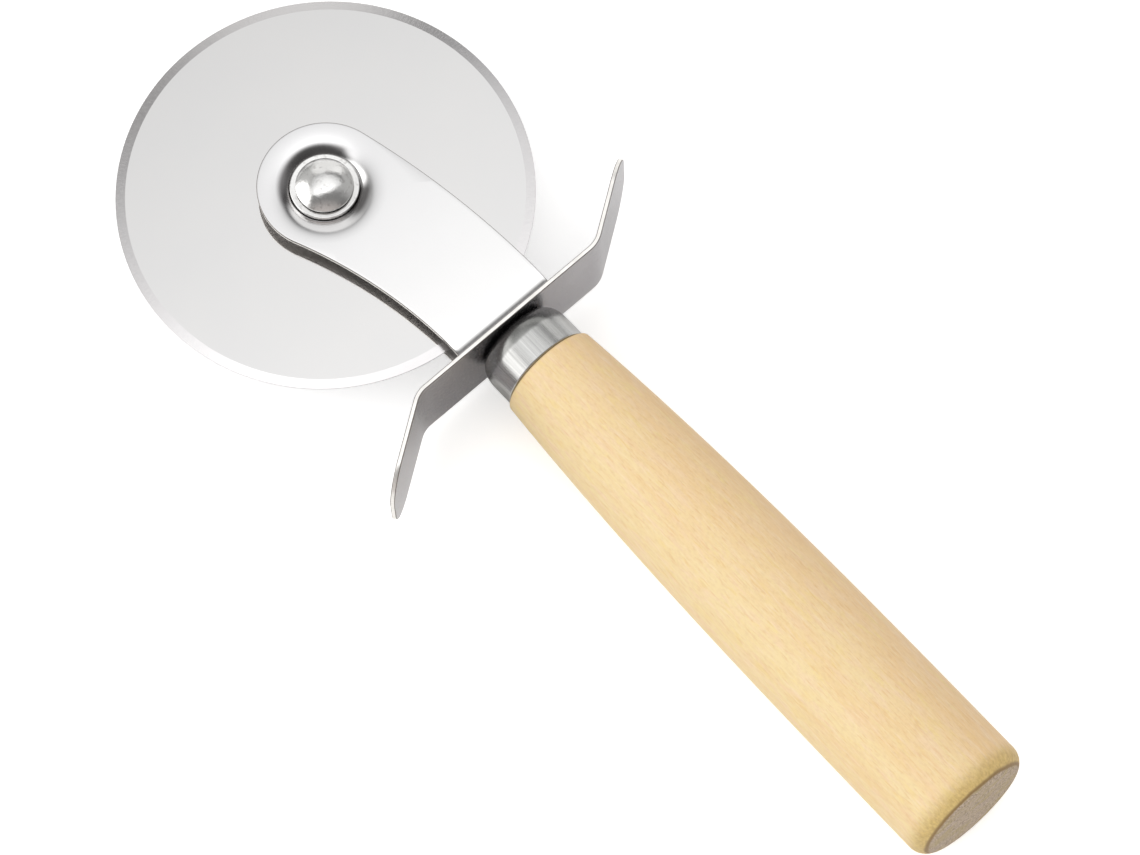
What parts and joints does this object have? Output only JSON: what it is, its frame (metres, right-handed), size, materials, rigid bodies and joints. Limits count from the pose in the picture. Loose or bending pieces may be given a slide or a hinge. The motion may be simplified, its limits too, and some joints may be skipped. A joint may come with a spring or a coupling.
{
  "type": "pizza cutter",
  "caption": "Rolling pizza cutter: a steel wheel on a riveted axle in a folded fork, with a Z-shaped finger guard, a steel ferrule and a turned wooden handle.",
  "frame": {"origin": "centre of the bottom of the bounding box, on the surface that the cutter lies on with its wheel level", "axes": "+X along the handle towards its butt, +Y towards the thumb arm of the guard, +Z along the wheel's axle"},
  "size_m": [0.2388, 0.096, 0.0296],
  "materials": {
    "wheel_steel": "polished stainless steel, with a ground bevel at the rim",
    "fork_steel": "polished stainless sheet",
    "guard_steel": "polished stainless sheet with sheared edges",
    "ferrule_steel": "fine satin lines along the tube",
    "rivet_steel": "bright polished steel",
    "screw_steel": "plain bright steel",
    "washer_nylon": "natural nylon",
    "pale_wood": "clear-lacquered pale hardwood with fine grain along the handle and bare-looking end grain on the butt"
  },
  "bodies": {
    "frame": {"fork": "fork_steel", "finger_guard": "guard_steel", "ferrule": "ferrule_steel", "handle": "pale_wood", "handle_screw": "screw_steel", "rivet_post": "rivet_steel", "rivet_socket": "rivet_steel", "front_rivet_collar": "rivet_steel", "rear_rivet_collar": "rivet_steel", "front_friction_washer": "washer_nylon", "rear_friction_washer": "washer_nylon"},
    "wheel": {"wheel_blade": "wheel_steel"}
  },
  "joints": [
    {"name": "wheel_spin", "type": "hinge", "parent": "frame", "child": "wheel", "pos_m": [-0.0744, -0.003, 0.0148], "axis": [0, 0, 1], "continuous": true}
  ]
}
